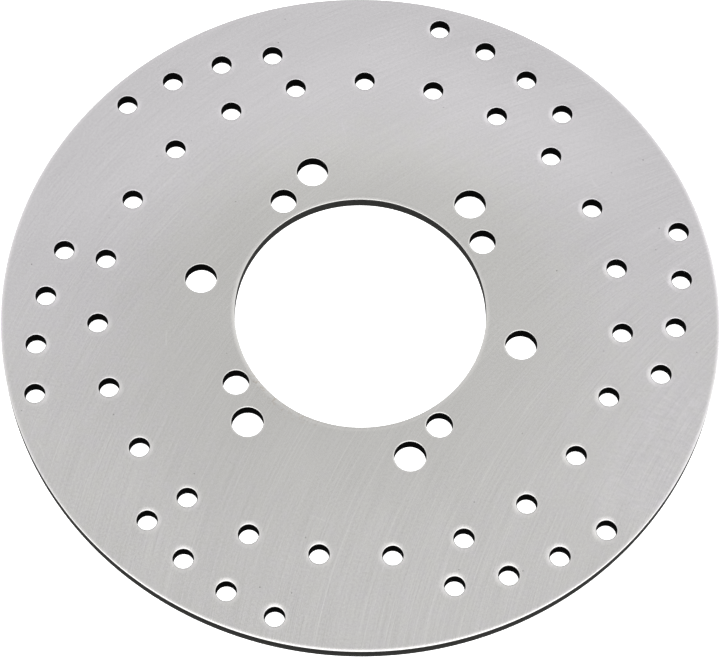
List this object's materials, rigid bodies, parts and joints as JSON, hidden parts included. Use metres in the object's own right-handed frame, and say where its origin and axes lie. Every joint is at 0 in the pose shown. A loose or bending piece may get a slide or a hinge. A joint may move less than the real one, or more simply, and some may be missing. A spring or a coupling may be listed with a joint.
{
  "type": "brake disc rotor",
  "caption": "Flat round brake disc with a centre opening, hub bolt holes, locating holes, and an evenly spaced ring and swept rows of cooling holes.",
  "frame": {"origin": "where the bore axis meets the back face, which is the face that rests on the hub", "axes": "+Z along the bore axis, out of the front face; +X through the first hole of every hole pattern"},
  "size_m": [0.197, 0.197, 0.004],
  "materials": {
    "ground_steel": "rotary surface-ground faces with fine arc marks, darker blanked rim and drilled walls"
  },
  "bodies": {
    "root": {"rotor_disc": "ground_steel"}
  },
  "joints": []
}
